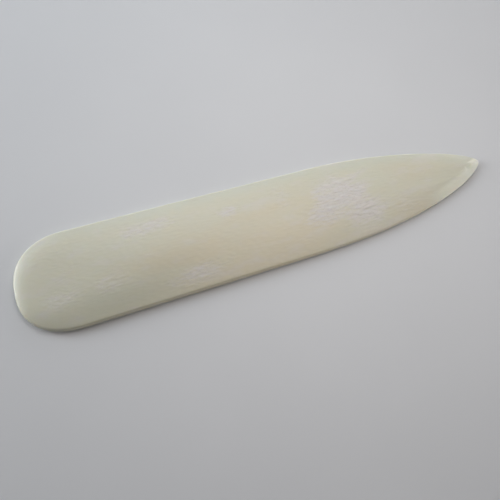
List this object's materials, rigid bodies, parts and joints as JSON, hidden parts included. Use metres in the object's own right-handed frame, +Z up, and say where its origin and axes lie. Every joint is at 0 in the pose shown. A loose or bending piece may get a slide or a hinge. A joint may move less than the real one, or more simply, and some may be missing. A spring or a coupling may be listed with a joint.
{
  "type": "bone folder",
  "caption": "Flat, crowned bone blade with a rounded end, a long taper and an ogive point, for creasing and scoring paper.",
  "frame": {"origin": "centre of the bounding box on the plane that the blade rests on", "axes": "+X along the blade to its point, +Y across it to the more gently curved long edge, +Z up through the crown"},
  "size_m": [0.127, 0.0266, 0.0035],
  "materials": {
    "bone": "satin"
  },
  "bodies": {
    "root": {"blade": "bone"}
  },
  "joints": []
}
